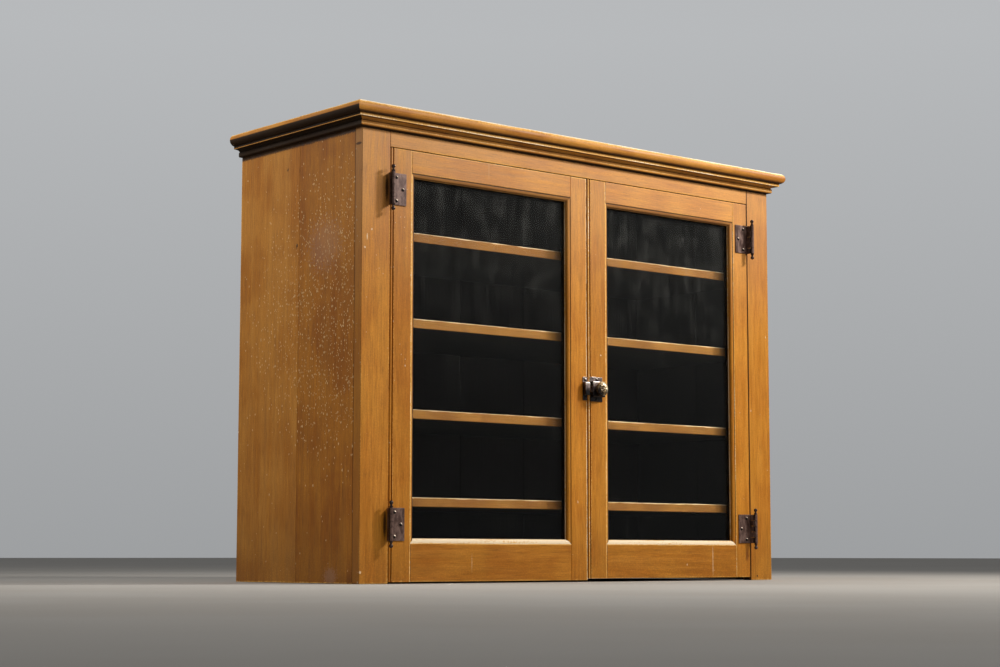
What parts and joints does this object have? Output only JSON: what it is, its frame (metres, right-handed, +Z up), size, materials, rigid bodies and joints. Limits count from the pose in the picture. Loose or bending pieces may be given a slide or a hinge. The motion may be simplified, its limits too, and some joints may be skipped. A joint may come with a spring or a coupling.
{
  "type": "jelly cupboard",
  "caption": "Painted wooden jelly cupboard with shelves behind two glazed doors, a moulded cornice, surface hinges and a turn latch.",
  "frame": {"origin": "on the floor under the middle of the whole cupboard, cornice included", "axes": "+X along the front to the right, +Y from the front to the back, +Z up"},
  "size_m": [1.244, 0.468, 0.951],
  "materials": {
    "front_paint": "worn satin paint",
    "side_paint": "worn satin paint with splashes",
    "shelf_paint": "worn satin paint",
    "interior": "dark matt",
    "bare_wood": "unfinished",
    "glass": "clear",
    "hinge_iron": "rusty patina",
    "latch_metal": "worn"
  },
  "bodies": {
    "case": {"side_left_front_board": "side_paint", "side_left_rear_board": "side_paint", "side_right_front_board": "side_paint", "side_right_rear_board": "side_paint", "shelf_1": "shelf_paint", "shelf_2": "shelf_paint", "shelf_3": "shelf_paint", "shelf_4": "shelf_paint", "bottom_board": "interior", "top_board": "bare_wood", "back_board_1": "bare_wood", "back_board_2": "bare_wood", "back_board_3": "bare_wood", "back_board_4": "bare_wood", "back_board_5": "bare_wood", "back_board_6": "bare_wood", "face_stile_left": "front_paint", "face_stile_right": "front_paint", "face_top_rail": "front_paint", "nosing_front": "front_paint", "nosing_left": "front_paint", "nosing_right": "front_paint", "bed_mould_front": "front_paint", "bed_mould_left": "front_paint", "bed_mould_right": "front_paint", "hinge_left_upper_frame_leaf": "hinge_iron", "hinge_left_upper_pin": "hinge_iron", "hinge_left_lower_frame_leaf": "hinge_iron", "hinge_left_lower_pin": "hinge_iron", "hinge_right_upper_frame_leaf": "hinge_iron", "hinge_right_upper_pin": "hinge_iron", "hinge_right_lower_frame_leaf": "hinge_iron", "hinge_right_lower_pin": "hinge_iron"},
    "door_left": {"left_door_hinge_stile": "front_paint", "left_door_meeting_stile": "front_paint", "left_door_top_rail": "front_paint", "left_door_bottom_rail": "front_paint", "left_door_glass": "glass", "left_door_glazing_bead_left": "interior", "left_door_glazing_bead_right": "interior", "left_door_glazing_bead_bottom": "interior", "left_door_glazing_bead_top": "interior", "hinge_left_upper_door_leaf": "hinge_iron", "hinge_left_lower_door_leaf": "hinge_iron", "latch_keeper": "latch_metal"},
    "door_right": {"right_door_meeting_stile": "front_paint", "right_door_hinge_stile": "front_paint", "right_door_top_rail": "front_paint", "right_door_bottom_rail": "front_paint", "right_door_glass": "glass", "right_door_glazing_bead_left": "interior", "right_door_glazing_bead_right": "interior", "right_door_glazing_bead_bottom": "interior", "right_door_glazing_bead_top": "interior", "hinge_right_upper_door_leaf": "hinge_iron", "hinge_right_lower_door_leaf": "hinge_iron", "latch_case": "latch_metal"},
    "latch_knob": {"latch_knob": "latch_metal"},
    "latch_bolt": {"latch_bolt": "latch_metal"}
  },
  "joints": [
    {"name": "left_door_swing", "type": "hinge", "parent": "case", "child": "door_left", "pos_m": [-0.523, -0.216, 0.45], "axis": [0, 0, -1], "range_deg": [0, 180]},
    {"name": "right_door_swing", "type": "hinge", "parent": "case", "child": "door_right", "pos_m": [0.523, -0.216, 0.45], "axis": [0, 0, 1], "range_deg": [0, 180]},
    {"name": "latch_knob_turn", "type": "hinge", "parent": "door_right", "child": "latch_knob", "pos_m": [0.0388, -0.21, 0.4115], "axis": [0, -1, 0], "range_deg": [0, 90]},
    {"name": "latch_bolt_slide", "type": "slide", "parent": "door_right", "child": "latch_bolt", "axis": [-1, 0, 0], "range_m": [0, 0.0133]}
  ],
  "couplings": [
    {"joint": "latch_bolt_slide", "follows": "latch_knob_turn", "m_per_rad": 0.008467}
  ]
}
